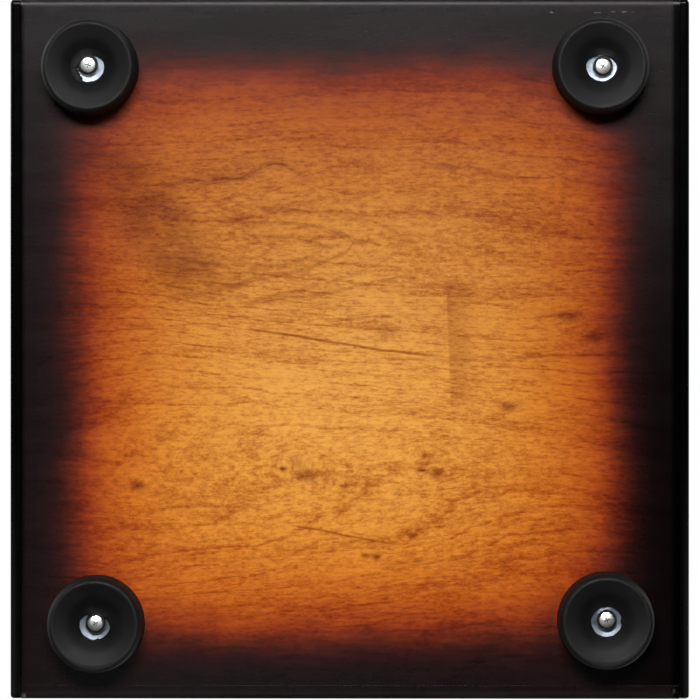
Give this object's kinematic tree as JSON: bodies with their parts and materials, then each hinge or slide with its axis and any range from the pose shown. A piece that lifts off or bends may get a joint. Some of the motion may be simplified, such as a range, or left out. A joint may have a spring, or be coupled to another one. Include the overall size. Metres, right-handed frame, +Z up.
{
  "type": "cajon",
  "caption": "Plywood box drum with a screwed playing plate, a rear sound hole, wire snares on an inner bar, and dished rubber feet.",
  "frame": {"origin": "on the floor, under the middle of the box", "axes": "+Z up, the tapa faces -Y, the sound hole faces +Y, +X is the right of someone looking at the tapa"},
  "size_m": [0.305, 0.296, 0.483],
  "materials": {
    "stained_ply": "sunburst stain under satin lacquer",
    "raw_wood": "raw sawn pine",
    "hardwood": "raw planed beech",
    "rubber": "satin moulded",
    "zinc": "bright zinc plate",
    "black_screw": "black phosphate",
    "snare_steel": "drawn wire"
  },
  "bodies": {
    "root": {"back_panel": "stained_ply", "bottom_panel": "stained_ply", "foot_front_left": "rubber", "foot_front_right": "rubber", "foot_rear_left": "rubber", "foot_rear_right": "rubber", "foot_screw_front_left": "zinc", "foot_screw_front_right": "zinc", "foot_screw_rear_left": "zinc", "foot_screw_rear_right": "zinc", "foot_washer_front_left": "zinc", "foot_washer_front_right": "zinc", "foot_washer_rear_left": "zinc", "foot_washer_rear_right": "zinc", "front_batten_bottom": "raw_wood", "front_batten_left": "raw_wood", "front_batten_right": "raw_wood", "front_batten_top": "raw_wood", "rear_batten_bottom": "raw_wood", "rear_batten_left": "raw_wood", "rear_batten_right": "raw_wood", "rear_batten_top": "raw_wood", "side_panel_left": "stained_ply", "side_panel_right": "stained_ply", "snare_bar": "hardwood", "snare_bar_screw_left": "zinc", "snare_bar_screw_right": "zinc", "snare_block_left": "hardwood", "snare_block_right": "hardwood", "snare_clip_left": "snare_steel", "snare_clip_right": "snare_steel", "snare_clip_screw_left_1": "zinc", "snare_clip_screw_left_2": "zinc", "snare_clip_screw_right_1": "zinc", "snare_clip_screw_right_2": "zinc", "snare_wires_left": "snare_steel", "snare_wires_right": "snare_steel", "tapa": "stained_ply", "tapa_screw_01": "black_screw", "tapa_screw_02": "black_screw", "tapa_screw_03": "black_screw", "tapa_screw_04": "black_screw", "tapa_screw_05": "black_screw", "tapa_screw_06": "black_screw", "tapa_screw_07": "black_screw", "tapa_screw_08": "black_screw", "tapa_screw_09": "black_screw", "tapa_screw_10": "black_screw", "tapa_screw_11": "black_screw", "tapa_screw_12": "black_screw", "tapa_screw_13": "black_screw", "tapa_screw_14": "black_screw", "tapa_screw_15": "black_screw", "tapa_screw_16": "black_screw", "top_panel": "stained_ply"}
  },
  "joints": []
}
